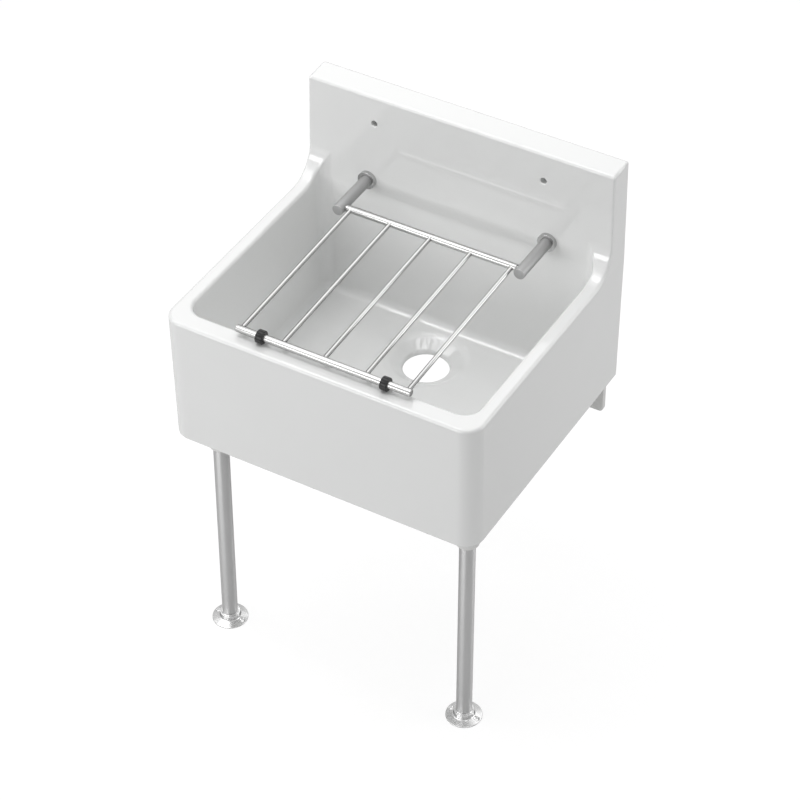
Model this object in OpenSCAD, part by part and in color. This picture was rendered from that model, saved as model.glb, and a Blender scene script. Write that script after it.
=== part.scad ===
// Cleaner's sink in white fireclay, with a high upstand at the wall, a hinged stainless bucket grating
// on two posts, two front legs with floor flanges, and a bearer with a wall plate under each side.
// Millimetres. X runs to the right, Y into the wall and Z up.
// The origin is on the wall plane, on the centre line, at the level of the basin rim.

/* [Fireclay body] */
// Width of the basin at its rim
rim_w = 460; // [420:1:520]
// Width of the basin at its underside
base_w = 458; // [418:1:520]
// Depth from the wall to the front of the rim
rim_d = 407.5; // [380:0.5:460]
// Depth from the wall to the front of the underside
base_d = 402.5; // [376:0.5:460]
// Height of the basin from underside to rim
basin_h = 202; // [170:1:240]
// Radius of the front corners in plan
front_corner_r = 26; // [20:0.5:32]
// Rounding of the rim and shoulder edges
rim_round_r = 5; // [3:0.5:6]
// Rounding of the underside's edges
base_round_r = 3; // [2:0.5:6]

/* [Upstand] */
// Height of the upstand above the rim
upstand_h = 156; // [120:1:200]
// Width of the upstand at its top
upstand_w = 455; // [420:1:520]
// Thickness of the upstand
upstand_t = 41; // [36:0.5:50]
// Radius of the sweep from each side rim up into the upstand
shoulder_r = 45; // [30:1:60]
// Rounding of the upstand's top edges
top_round_r = 4.5; // [3:0.5:6]
// Rounding of the upstand's upright edges
upright_round_r = 3; // [2:0.5:5]

/* [Basin hollow] */
// Thickness of the side walls at the rim
side_wall = 20; // [16:0.5:26]
// Thickness of the front wall at the rim
front_wall = 28.5; // [22:0.5:34]
// Thickness of the basin floor
floor_t = 20; // [16:0.5:26]
// How far each side wall leans in from rim to floor
side_draft = 11; // [4:0.5:16]
// How far the front wall leans in from rim to floor
front_draft = 11; // [4:0.5:16]
// How far the back wall leans in from rim to floor
back_draft = 8; // [2:0.5:14]
// Plan radius of the hollow's front corners
hollow_front_r = 24; // [18:0.5:30]
// Plan radius of the hollow's back corners
hollow_back_r = 17; // [14:0.5:24]
// Radius of the fillet round the basin floor
floor_fillet_r = 12; // [8:0.5:14]

/* [Waste outlet] */
// Radius of the waste hole
waste_r = 32; // [26:0.5:40]
// Distance of the waste hole from the wall
waste_y = 121; // [110:1:200]
// Rounding of the hole's upper lip
waste_lip_r = 3; // [1:0.5:5]
// Radius of the shallow dish round the hole
dish_r = 54.5; // [46:0.5:64]
// Depth of the dish below the basin floor
dish_depth = 12; // [6:0.5:14]

/* [Upstand screw holes] */
// Distance between the two screw holes
fixing_pitch = 253; // [200:1:340]
// Height of the screw holes above the rim
fixing_z = 113; // [90:1:140]
// Radius of each screw hole
fixing_r = 4.5; // [3:0.5:7]
// Rounding of each hole's mouth
fixing_lip_r = 1; // [0.5:0.5:2]

/* [Hinge posts] */
// Distance of each post from the centre line
post_x = 136.7; // [120:0.1:160]
// Height of the post axis above the rim
post_z = 19; // [16:0.5:24]
// Radius of each post
post_r = 8; // [7:0.5:10]
// How far each post stands out from the upstand
post_len = 81; // [70:1:100]
// Chamfer of the post's front end
post_chamfer = 0.8; // [0.4:0.1:1.5]
// Radius of the rose round each post
rose_r = 13; // [11:0.5:16]
// Thickness of the rose
rose_t = 6; // [3:0.5:8]
// Rounding of the rose's front edge
rose_round_r = 1; // [0.5:0.1:1.5]
// Distance of the hinge pin from the post's front end
pin_from_end = 11; // [9:0.5:16]
// Radius of the hinge pin
pin_r = 3.5; // [2.5:0.1:4.5]
// Length of the hinge pin inside its post
pin_len = 8; // [6:0.5:10]
// Radial clearance of the pin in its bore
pin_clearance = 0.05; // [0.03:0.01:0.1]
// Gap between the bar's shoulder and the post
shoulder_gap = 0.5; // [0.3:0.1:1]
// Space past the pin's end in its bore
bore_end_gap = 1; // [0.5:0.5:2]

/* [Post fixings] */
// Radius of the stud that holds each post
stud_r = 5; // [4:0.5:6]
// Depth of the stud in the post
stud_grip = 16; // [12:1:24]
// Radius of the stud hole through the upstand
stud_hole_r = 6; // [5.5:0.5:7]
// Radius of the counterbore at the back
counterbore_r = 14; // [13:0.5:18]
// Depth of the counterbore
counterbore_depth = 16; // [14:0.5:20]
// Radius of the rubber and steel washers
washer_r = 12; // [11:0.5:13]
// Thickness of the rubber washer
seal_t = 3; // [2:0.5:4]
// Thickness of the steel washer
washer_t = 2; // [1.5:0.5:3]
// Width of the nut across its flats
nut_flats = 16; // [15:0.5:18]
// Thickness of the nut
nut_t = 7; // [6:0.5:8]
// How far the stud passes through the nut
stud_past_nut = 2; // [1:0.5:3]

/* [Bucket grating] */
// Radius of the back and front bars
bar_r = 5; // [4:0.25:6]
// Length of the front bar
front_bar_len = 255; // [240:1:280]
// Distance of the front bar behind the front of the rim
front_bar_inset = 22; // [18:0.5:26]
// Chamfer of the bar ends
bar_chamfer = 0.5; // [0.2:0.1:1]
// Radius of the five rods
rod_r = 3; // [2.5:0.25:4]
// Distance of the inner pair of rods from the centre line
inner_rod_x = 61; // [50:1:70]
// Distance of the outer pair of rods from the centre line
outer_rod_x = 121.5; // [110:0.5:124]

/* [Rubber buffers] */
// Distance of each rubber buffer from the centre line
buffer_x = 91; // [80:1:105]
// Length of each buffer
buffer_len = 10; // [8:0.5:14]
// Radius over the buffer's ribs
buffer_r = 9.3; // [8:0.1:10]
// Gap between the buffers and the rim when the grating is down
buffer_gap = 0.3; // [0.2:0.1:1]
// Depth of the grooves between the ribs
groove_depth = 0.9; // [0.4:0.1:1.2]
// Half the width of each groove
groove_r = 0.9; // [0.5:0.1:1.1]

/* [Legs] */
// Height of the basin underside above the floor
underside_h = 374; // [330:1:450]
// Distance of each leg from the centre line
leg_x = 189.5; // [170:0.5:200]
// Distance of each leg from the wall
leg_y = 345.5; // [320:0.5:370]
// Radius of the leg tube
leg_r = 11; // [10:0.5:14]
// Wall thickness of the leg tube
leg_wall = 1.5; // [1:0.1:2.5]

/* [Floor flanges] */
// Radius of the flange disc
flange_r = 25.5; // [23:0.5:32]
// Thickness of the disc at its edge
flange_edge_t = 1.8; // [1.2:0.1:3]
// Thickness of the disc where it meets the hub
flange_root_t = 4; // [3:0.1:6]
// Radius of the hub
hub_r = 14.5; // [13.5:0.25:16]
// Radius of the fillet between disc and hub
hub_fillet_r = 2.2; // [1.5:0.1:3]
// Height of the hub above the floor
hub_h = 12; // [10:0.5:16]
// Height of the lip ring on the hub
lip_h = 1.6; // [1:0.1:2.5]
// Width of the lip ring round the tube
lip_w = 1.5; // [1:0.1:2.2]
// Thickness of the web under the tube
flange_web_t = 2; // [1.5:0.5:3]
// Distance of each screw hole from the leg axis
flange_hole_x = 20; // [19:0.25:24]
// Radius of each screw hole
flange_hole_r = 2.4; // [1.8:0.1:3]
// Radius of the countersink's mouth
flange_sink_r = 3.8; // [3.2:0.1:5]

/* [Bearers] */
// Thickness of the rubber pads under the basin
pad_t = 3; // [2:0.5:5]
// Length of each pad
pad_len = 46; // [30:1:60]
// Width of the bearer's top flange
bearer_w = 34; // [30:1:38]
// Thickness of the bearer's top flange
bearer_flange_t = 6; // [4:0.5:8]
// Thickness of the bearer's web
bearer_web_t = 8; // [6:0.5:12]
// Depth of the web below the flange
bearer_web_h = 28; // [20:1:32]
// Radius of the leg socket
socket_r = 16; // [14.5:0.5:18]
// Depth of the leg socket below the flange
socket_h = 38; // [30:1:44]
// Width of the wall plate
plate_w = 51; // [44:1:60]
// Thickness of the wall plate
plate_t = 8.5; // [6:0.5:12]
// How far the wall plate reaches below the basin underside
plate_drop = 68; // [60:1:90]
// Radius of the wall plate's lower corners
plate_corner_r = 6; // [4:0.5:12]
// Distance of each wall screw hole from the plate's centre line
plate_hole_x = 15; // [13:0.5:20]
// Depth of the wall screw holes below the basin underside
plate_hole_drop = 34; // [26:1:44]
// Radius of each wall screw hole
plate_hole_r = 3.5; // [2.5:0.25:4.5]
// Radius of the screw that grips each leg
grub_r = 3; // [2.5:0.25:4]
// Depth of that screw below the bearer's flange
grub_drop = 26; // [18:1:30]

/* [Hidden] */

$fn = 64;
quarter = 90;
half = 180;
full = 360;
sides = [-1, 1];
// Steps along each round stretch of the fireclay
corner_steps = 8;
edge_steps = 5;
sweep_steps = 16;
fillet_steps = 5;
// Every cutter runs past its piece by this much
overrun = rim_round_r / 5;
// Grooves round each rubber buffer
groove_count = 14;
// Width of a rubber pad as a share of the bearer's
pad_side_share = 0.8;

underside_z = -basin_h;
floor_z = underside_z - underside_h;
rim_half = rim_w / 2;
base_half = base_w / 2;
top_half = upstand_w / 2;
hollow_half = rim_half - side_wall;
hollow_front = front_wall - rim_d;
hollow_back = -upstand_t;
hollow_depth = basin_h - floor_t;
shoulder_y = -upstand_t - shoulder_r;
wall_lean = atan(side_draft / hollow_depth);

waste_floor_z = underside_z + floor_t;
dish_z = waste_floor_z - dish_depth;

post_end_y = -upstand_t - post_len;
hinge_y = post_end_y + pin_from_end;
back_bar_half = post_x - post_r - shoulder_gap;
pin_half = post_x - post_r + pin_len;
bore_half = pin_half + bore_end_gap;
stud_front_y = -upstand_t - stud_grip;
seal_y = -counterbore_depth;
washer_y = seal_y + seal_t;
nut_y = washer_y + washer_t;
stud_back_y = nut_y + nut_t + stud_past_nut;
nut_corner_r = nut_flats / 2 / cos(half / 6);

front_bar_y = rim_d - front_bar_inset;
front_bar_z = buffer_r + buffer_gap;
rod_run = front_bar_y + hinge_y;
rod_drop = post_z - front_bar_z;
rod_len = sqrt(rod_run * rod_run + rod_drop * rod_drop);
rod_tilt = atan(rod_drop / rod_run);
rod_x = [-outer_rod_x, -inner_rod_x, 0, inner_rod_x, outer_rod_x];

bearer_top_z = underside_z - pad_t;
web_top_z = bearer_top_z - bearer_flange_t;
socket_z = web_top_z - socket_h;
plate_bottom_z = underside_z - plate_drop;
leg_bottom_z = floor_z + flange_web_t;
pad_w = bearer_w * pad_side_share;
bearer_front_y = leg_y + socket_r;

// Basic helpers for the fireclay

function mix(a, b, t) = a + (b - a) * t;

// Half the width of the fireclay at a height, which leans in below the rim and above it
function side_at(z) = z > 0
  ? mix(rim_half, top_half, z / upstand_h)
  : mix(rim_half, base_half, -z / basin_h);

function front_at(z) = mix(-rim_d, -base_d, -z / basin_h);

// Points of one corner of an outline, or a single point where its radius is zero
function corner(cx, cy, r, from) = r > 0
  ? [for (i = [0:corner_steps]) let(a = from + quarter * i / corner_steps) [cx + r * cos(a), cy + r * sin(a)]]
  : [[cx, cy]];

// A closed outline at a height, with its own radius at the front corners and at the back corners
function outline(side, front, back, front_r, back_r, z) = [
  for (p = concat(
    corner(front_r - side, front + front_r, front_r, half),
    corner(side - front_r, front + front_r, front_r, half + quarter),
    corner(side - back_r, back - back_r, back_r, 0),
    corner(back_r - side, back - back_r, back_r, quarter)
  )) [p[0], p[1], z]
];

// A closed solid through a list of loops that have the same number of points
module skin(loops) {
  n = len(loops[0]);
  last = len(loops) - 1;
  polyhedron(
    points = [for (loop = loops) each loop],
    faces = concat(
      [[for (i = [0:n - 1]) i]],
      [for (k = [0:last - 1]) for (i = [0:n - 1]) let(j = (i + 1) % n) each [
        [k * n + i, (k + 1) * n + i, (k + 1) * n + j],
        [k * n + i, (k + 1) * n + j, k * n + j]
      ]],
      [[for (i = [n - 1:-1:0]) last * n + i]]
    ),
    convexity = sweep_steps
  );
}

// One section of an edge cutter: e is the edge point, n1 and n2 the normals of the faces that meet there.
// Its inner side is the rounding arc, tangent to both faces.
function edge_section(e, n1, n2, r) =
  let(
    turn = acos(n1 * n2),
    middle = (n1 + n2) / norm(n1 + n2),
    reach = 1 / cos(turn / 2),
    centre = e - middle * r * reach,
    sweep = [for (i = [edge_steps:-1:0]) let(t = i / edge_steps)
      centre + r * (n1 * sin(turn * (1 - t)) + n2 * sin(turn * t)) / sin(turn)]
  )
  concat(
    [centre + n1 * (r + overrun), e + middle * overrun * reach, centre + n2 * (r + overrun)],
    sweep
  );

// Where the shoulder's arc stands after a number of steps up from the rim, and where its face looks there
function shoulder_angle(i) = quarter * i / sweep_steps;
function shoulder_point(x, i) = [x,
  shoulder_y + shoulder_r * sin(shoulder_angle(i)), shoulder_r * (1 - cos(shoulder_angle(i)))];
function shoulder_normal(i) = [0, -sin(shoulder_angle(i)), cos(shoulder_angle(i))];

// The outer edge on one side, from the upstand's top down the shoulder to the start of the side rim
function outer_rise(s) = concat(
  [edge_section([s * side_at(upstand_h + overrun), -upstand_t, upstand_h + overrun],
    [0, -1, 0], [s, 0, 0], upright_round_r)],
  [for (i = [sweep_steps:-1:0]) let(p = shoulder_point(0, i))
    edge_section([s * side_at(p[2]), p[1], p[2]], shoulder_normal(i), [s, 0, 0],
      mix(rim_round_r, upright_round_r, i / sweep_steps))]
);

// The outer edge round one front corner, turning from one direction to the next
function outer_corner(s, from) = [
  for (i = [0:corner_steps]) let(a = from + quarter * i / corner_steps, d = [cos(a), sin(a), 0])
    edge_section([s * (rim_half - front_corner_r), front_corner_r - rim_d, 0] + front_corner_r * d,
      [0, 0, 1], d, rim_round_r)
];

function reversed(list) = [for (i = [len(list) - 1:-1:0]) list[i]];

// The normal of the hollow's wall at a plan direction, lying back by the wall's lean at rim level
function hollow_normal(d, level) = [-d[0] * cos(wall_lean * level), -d[1] * cos(wall_lean * level),
  sin(wall_lean * level)];

// How far round its back corner the hollow's wall has turned at a depth
function back_turn(y) = asin(max(0, y - hollow_back + hollow_back_r) / hollow_back_r);

// The inner edge on one side, from where it fades into the upstand down to the side rim
function inner_rise(s) = [
  for (i = [sweep_steps - 1:-1:0]) let(
      p = shoulder_point(0, i),
      b = back_turn(p[1]),
      level = max(0, 1 - p[2] / rim_round_r))
    edge_section([s * (hollow_half - hollow_back_r * (1 - cos(b))), p[1], p[2]], shoulder_normal(i),
      hollow_normal([s * cos(b), sin(b)], level), rim_round_r)
];

// The inner edge round one front corner
function inner_corner(s, from) = [
  for (i = [0:corner_steps]) let(a = from - quarter * i / corner_steps, d = [cos(a), sin(a)])
    edge_section([s * (hollow_half - hollow_front_r) + hollow_front_r * d[0],
      hollow_front + hollow_front_r * (1 + d[1]), 0], [0, 0, 1], hollow_normal(d, 1), rim_round_r)
];

outer_edge = concat(
  outer_rise(-1), outer_corner(-1, half), outer_corner(1, half + quarter), reversed(outer_rise(1))
);
inner_edge = concat(
  inner_rise(1), inner_corner(1, full), inner_corner(-1, half + quarter), reversed(inner_rise(-1))
);

// Fireclay: outer block, upstand and shoulders

function base_inset(i) = base_round_r * (1 - sin(quarter * i / fillet_steps));
function base_rise(i) = base_round_r * (1 - cos(quarter * i / fillet_steps));

module basin_block() {
  foot = [for (i = [0:fillet_steps]) let(z = underside_z + base_rise(i), inset = base_inset(i))
    outline(side_at(z) - inset, front_at(z) + inset, -inset, front_corner_r - inset, 0, z)];
  skin(concat(foot, [outline(rim_half, -rim_d, 0, front_corner_r, 0, 0)]));
}

// The upstand's front face and the shoulders' arc, seen from the side, as a solid that is cut away
module shoulder_cut() {
  front = shoulder_y - shoulder_r;
  translate([-rim_half, 0, 0])
    rotate([quarter, 0, quarter])
      linear_extrude(rim_w)
        polygon(concat(
          [for (i = [0:sweep_steps]) let(p = shoulder_point(0, i)) [p[1], p[2]]],
          [[-upstand_t, upstand_h + overrun], [front, upstand_h + overrun], [front, 0]]
        ));
}

// The upstand with the block from which both shoulders are hollowed
module upstand_block() {
  difference() {
    rotate([quarter, 0, 0])
      linear_extrude(-shoulder_y)
        polygon([[-rim_half, 0], [rim_half, 0], [top_half, upstand_h], [-top_half, upstand_h]]);
    shoulder_cut();
  }
}

// The hollow, which leans in to a filleted floor and runs on upright above the rim
module basin_hollow() {
  foot = [for (i = [0:fillet_steps]) let(
      a = quarter * i / fillet_steps,
      rise = floor_fillet_r * (1 - cos(a)),
      inset = floor_fillet_r * (1 - sin(a)),
      lean = 1 - rise / hollow_depth)
    outline(hollow_half - side_draft * lean - inset, hollow_front + front_draft * lean + inset,
      hollow_back - back_draft * lean - inset, hollow_front_r - inset, hollow_back_r - inset,
      waste_floor_z + rise)];
  rim = [for (z = [0, shoulder_r + overrun])
    outline(hollow_half, hollow_front, hollow_back, hollow_front_r, hollow_back_r, z)];
  skin(concat(foot, rim));
}

// The waste hole, with a rounded lip that opens into a shallow dish
module waste_cut() {
  translate([0, -waste_y, 0])
    rotate_extrude()
      polygon(concat(
        [[0, underside_z - overrun], [waste_r, underside_z - overrun]],
        [for (i = [0:edge_steps]) let(a = quarter * i / edge_steps)
          [waste_r + waste_lip_r * (1 - cos(a)), dish_z - waste_lip_r * (1 - sin(a))]],
        [[dish_r, waste_floor_z], [dish_r, waste_floor_z + overrun], [0, waste_floor_z + overrun]]
      ));
}

// A screw hole through the upstand, with a rounded mouth
module fixing_cut() {
  rotate([quarter, 0, 0])
    rotate_extrude()
      polygon(concat(
        [[0, -overrun], [fixing_r, -overrun]],
        [for (i = [0:edge_steps]) let(a = quarter * i / edge_steps)
          [fixing_r + fixing_lip_r * (1 - cos(a)), upstand_t - fixing_lip_r * (1 - sin(a))]],
        [[fixing_r + fixing_lip_r, upstand_t + overrun], [0, upstand_t + overrun]]
      ));
}

module stud_cut() {
  rotate([quarter, 0, 0]) {
    translate([0, 0, -overrun])
      cylinder(r = stud_hole_r, h = upstand_t + overrun * 2);
    translate([0, 0, -overrun])
      cylinder(r = counterbore_r, h = counterbore_depth + overrun);
  }
}

// Rounds the straight edge between two faces, along a line from one point to another
module straight_edge(a, b, n1, n2, r) {
  skin([edge_section(a, n1, n2, r), edge_section(b, n1, n2, r)]);
}

module top_edges_cut() {
  z = upstand_h;
  straight_edge([-rim_half, -upstand_t, z], [rim_half, -upstand_t, z], [0, 0, 1], [0, -1, 0], top_round_r);
  straight_edge([rim_half, 0, z], [-rim_half, 0, z], [0, 0, 1], [0, 1, 0], upright_round_r);
  straight_edge([top_half, -rim_half, z], [top_half, overrun, z], [0, 0, 1], [1, 0, 0], top_round_r);
  straight_edge([-top_half, overrun, z], [-top_half, -rim_half, z], [0, 0, 1], [-1, 0, 0], top_round_r);
}

module back_edge_cut(s) {
  levels = [underside_z - overrun, 0, upstand_h + overrun];
  sections = [for (z = levels) edge_section([s * side_at(z), 0, z], [s, 0, 0], [0, 1, 0], upright_round_r)];
  skin(s > 0 ? sections : reversed(sections));
}

module sink_body() color("white") difference() {
  union() {
    basin_block();
    upstand_block();
  }
  basin_hollow();
  skin(outer_edge);
  skin(inner_edge);
  top_edges_cut();
  for (s = sides) back_edge_cut(s);
  waste_cut();
  for (s = sides) translate([s * fixing_pitch / 2, 0, fixing_z]) fixing_cut();
  for (s = sides) translate([s * post_x, 0, post_z]) stud_cut();
}

// Hinge posts and what holds them

module hinge_post(s) color("silver") translate([s * post_x, 0, post_z]) difference() {
  rotate([quarter, 0, 0])
    rotate_extrude()
      polygon([
        [0, upstand_t], [post_r, upstand_t], [post_r, -post_end_y - post_chamfer],
        [post_r - post_chamfer, -post_end_y], [0, -post_end_y]
      ]);
  translate([s * (bore_half - post_x), hinge_y, 0])
    rotate([0, -s * quarter, 0])
      cylinder(r = pin_r + pin_clearance, h = post_r * 2);
  translate([0, -upstand_t + overrun, 0])
    rotate([quarter, 0, 0])
      cylinder(r = stud_r, h = stud_grip + overrun);
}

module left_hinge_post() hinge_post(-1);
module right_hinge_post() hinge_post(1);

module post_rose(s) color("silver") translate([s * post_x, -upstand_t, post_z])
  rotate([quarter, 0, 0])
    rotate_extrude()
      polygon(concat(
        [[post_r, 0], [rose_r, 0]],
        [for (i = [0:edge_steps]) let(a = quarter * i / edge_steps)
          [rose_r - rose_round_r * (1 - cos(a)), rose_t - rose_round_r * (1 - sin(a))]],
        [[post_r, rose_t]]
      ));

module left_post_rose() post_rose(-1);
module right_post_rose() post_rose(1);

module at_posts(y) for (s = sides) translate([s * post_x, y, post_z]) rotate([-quarter, 0, 0]) children();

module post_studs() color("silver")
  at_posts(stud_front_y) cylinder(r = stud_r, h = stud_back_y - stud_front_y);

module post_seals() color("dimgray") at_posts(seal_y) difference() {
  cylinder(r = washer_r, h = seal_t);
  translate([0, 0, -overrun]) cylinder(r = stud_r, h = seal_t + overrun * 2);
}

module post_washers() color("silver") at_posts(washer_y) difference() {
  cylinder(r = washer_r, h = washer_t);
  translate([0, 0, -overrun]) cylinder(r = stud_r, h = washer_t + overrun * 2);
}

module post_nuts() color("silver") at_posts(nut_y) difference() {
  cylinder(r = nut_corner_r, h = nut_t, $fn = 6);
  translate([0, 0, -overrun]) cylinder(r = stud_r, h = nut_t + overrun * 2);
}

// Bucket grating

// A round bar along X with chamfered ends
module cross_bar(len) translate([-len / 2, 0, 0])
  rotate([0, quarter, 0])
    rotate_extrude()
      polygon([
        [0, 0], [bar_r - bar_chamfer, 0], [bar_r, bar_chamfer],
        [bar_r, len - bar_chamfer], [bar_r - bar_chamfer, len], [0, len]
      ]);

module grate_back_bar() color("silver") translate([0, hinge_y, post_z]) {
  cross_bar(back_bar_half * 2);
  translate([-pin_half, 0, 0])
    rotate([0, quarter, 0])
      cylinder(r = pin_r, h = pin_half * 2);
}

module grate_front_bar() color("silver") translate([0, -front_bar_y, front_bar_z])
  cross_bar(front_bar_len);

// A rod between the bars, cut to seat on both
module grate_rod(i) color("silver") translate([rod_x[i], hinge_y, post_z])
  rotate([rod_tilt, 0, 0]) difference() {
    rotate([quarter, 0, 0])
      cylinder(r = rod_r, h = rod_len);
    for (y = [0, -rod_len]) translate([-rod_r * 2, y, 0])
      rotate([0, quarter, 0])
        cylinder(r = bar_r, h = rod_r * 4);
  }

module grate_rod_1() grate_rod(0);
module grate_rod_2() grate_rod(1);
module grate_rod_3() grate_rod(2);
module grate_rod_4() grate_rod(3);
module grate_rod_5() grate_rod(4);

// A ribbed rubber buffer round the front bar
module rubber_buffer(s) color("dimgray")
  translate([s * buffer_x - buffer_len / 2, -front_bar_y, front_bar_z])
    rotate([0, quarter, 0]) difference() {
      rotate_extrude()
        polygon([
          [bar_r, 0], [buffer_r - groove_depth, 0], [buffer_r, groove_depth],
          [buffer_r, buffer_len - groove_depth], [buffer_r - groove_depth, buffer_len], [bar_r, buffer_len]
        ]);
      for (i = [0:groove_count - 1]) rotate([0, 0, full * (i + 1 / 2) / groove_count])
        translate([buffer_r + groove_r - groove_depth, 0, -overrun])
          cylinder(r = groove_r, h = buffer_len + overrun * 2, $fn = 16);
    }

module left_rubber_buffer() rubber_buffer(-1);
module right_rubber_buffer() rubber_buffer(1);

// Legs and floor flanges

module leg(s) color("silver") translate([s * leg_x, -leg_y, leg_bottom_z]) difference() {
  cylinder(r = leg_r, h = web_top_z - leg_bottom_z);
  translate([0, 0, -overrun])
    cylinder(r = leg_r - leg_wall, h = web_top_z - leg_bottom_z + overrun * 2);
}

module left_leg() leg(-1);
module right_leg() leg(1);

module flange_sink() {
  translate([0, 0, -overrun])
    cylinder(r = flange_hole_r, h = flange_root_t + overrun * 2);
  translate([0, 0, flange_edge_t / 2])
    cylinder(r1 = flange_hole_r, r2 = flange_sink_r, h = flange_sink_r - flange_hole_r);
  translate([0, 0, flange_edge_t / 2 + flange_sink_r - flange_hole_r])
    cylinder(r = flange_sink_r, h = flange_root_t);
}

module floor_flange(s) color("silver") translate([s * leg_x, -leg_y, floor_z]) difference() {
  rotate_extrude()
    polygon(concat(
      [[0, 0], [flange_r, 0], [flange_r, flange_edge_t], [hub_r + hub_fillet_r, flange_root_t]],
      [for (i = [0:edge_steps]) let(a = quarter * i / edge_steps)
        [hub_r + hub_fillet_r * (1 - sin(a)), flange_root_t + hub_fillet_r * (1 - cos(a))]],
      [
        [hub_r, hub_h], [leg_r + lip_w, hub_h], [leg_r + lip_w, hub_h + lip_h], [leg_r, hub_h + lip_h],
        [leg_r, flange_web_t], [0, flange_web_t]
      ]
    ));
  for (t = sides) translate([t * flange_hole_x, 0, 0]) flange_sink();
}

module left_floor_flange() floor_flange(-1);
module right_floor_flange() floor_flange(1);

// Bearers: top flange, web, leg socket and wall plate in one casting

// The wall plate's outline in X and Z, with round lower corners
module plate_outline() {
  half_w = plate_w / 2;
  h = bearer_top_z - plate_bottom_z;
  translate([-half_w, plate_corner_r]) square([plate_w, h - plate_corner_r]);
  translate([plate_corner_r - half_w, 0]) square([plate_w - plate_corner_r * 2, plate_corner_r * 2]);
  for (s = sides) translate([s * (half_w - plate_corner_r), plate_corner_r]) circle(r = plate_corner_r);
}

module bearer(s) color("lightgray") translate([s * leg_x, 0, 0]) difference() {
  union() {
    translate([0, 0, plate_bottom_z])
      rotate([quarter, 0, 0])
        linear_extrude(plate_t) plate_outline();
    translate([-bearer_w / 2, -leg_y, web_top_z])
      cube([bearer_w, leg_y, bearer_flange_t]);
    translate([0, -leg_y, web_top_z])
      cylinder(r = bearer_w / 2, h = bearer_flange_t);
    translate([-bearer_web_t / 2, -leg_y, web_top_z - bearer_web_h])
      cube([bearer_web_t, leg_y, bearer_web_h + overrun]);
    translate([0, -leg_y, socket_z])
      cylinder(r = socket_r, h = socket_h + overrun);
  }
  translate([0, -leg_y, socket_z - overrun])
    cylinder(r = leg_r, h = socket_h + overrun);
  translate([0, -leg_y, web_top_z - grub_drop])
    rotate([0, -s * quarter, 0])
      cylinder(r = grub_r, h = socket_r + overrun);
  for (t = sides) translate([t * plate_hole_x, overrun, underside_z - plate_hole_drop])
    rotate([quarter, 0, 0])
      cylinder(r = plate_hole_r, h = plate_t + overrun * 2);
}

module left_bearer() bearer(-1);
module right_bearer() bearer(1);

// Two rubber pads on each bearer, one behind the wall plate's edge and one over the leg
module bearer_pads() color("dimgray")
  for (s = sides) for (y = [-leg_y - pad_len / 2, -plate_t - pad_len * 2])
    translate([s * leg_x - pad_w / 2, y, bearer_top_z])
      cube([pad_w, pad_len, pad_t]);

module leg_grub_screws() color("silver")
  for (s = sides) translate([s * leg_x, -leg_y, web_top_z - grub_drop])
    rotate([0, -s * quarter, 0])
      translate([0, 0, leg_r])
        cylinder(r = grub_r, h = socket_r - leg_r);

sink_body();
left_hinge_post();
right_hinge_post();
left_post_rose();
right_post_rose();
post_studs();
post_seals();
post_washers();
post_nuts();
grate_back_bar();
grate_front_bar();
grate_rod_1();
grate_rod_2();
grate_rod_3();
grate_rod_4();
grate_rod_5();
left_rubber_buffer();
right_rubber_buffer();
left_leg();
right_leg();
left_floor_flange();
right_floor_flange();
left_bearer();
right_bearer();
bearer_pads();
leg_grub_screws();
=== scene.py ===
# Cleaner's sink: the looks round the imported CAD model.
# Sizes are written in millimetres and become metres where a mesh is made. X is right, Y into the wall, Z up.
import math

import bmesh
import bpy
import numpy as np
from mathutils import Matrix, Vector


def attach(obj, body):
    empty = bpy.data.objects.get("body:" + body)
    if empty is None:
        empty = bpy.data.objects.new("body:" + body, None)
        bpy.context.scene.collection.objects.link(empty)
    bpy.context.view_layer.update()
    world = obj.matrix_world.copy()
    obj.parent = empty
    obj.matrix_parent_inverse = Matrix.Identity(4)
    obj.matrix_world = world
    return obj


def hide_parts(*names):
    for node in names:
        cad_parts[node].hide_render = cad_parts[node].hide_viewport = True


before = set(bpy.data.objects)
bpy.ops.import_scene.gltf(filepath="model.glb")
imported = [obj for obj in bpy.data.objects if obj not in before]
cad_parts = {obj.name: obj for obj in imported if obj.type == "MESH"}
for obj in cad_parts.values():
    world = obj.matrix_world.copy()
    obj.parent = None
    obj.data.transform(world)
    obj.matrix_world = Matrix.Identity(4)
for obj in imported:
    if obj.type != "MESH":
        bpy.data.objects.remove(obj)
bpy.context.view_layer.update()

MM = 0.001
SIDES = (("left", -1), ("right", 1))
X_AXIS, Y_AXIS = (1, 0, 0), (0, 1, 0)
TINY = 1e-6
# Room left round a stud, a leg or a grub screw in the piece that holds it
FIT = 0.02

# Fireclay body
RIM_HALF, BASE_HALF, TOP_HALF = 230, 229, 227.5
RIM_D, BASE_D, BASIN_H = 407.5, 402.5, 202
FRONT_CORNER_R, RIM_ROUND, BASE_ROUND = 26, 5, 3
UPSTAND_H, UPSTAND_T, SHOULDER_R = 156, 41, 45
TOP_ROUND, UPRIGHT_ROUND = 4.5, 3
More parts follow.
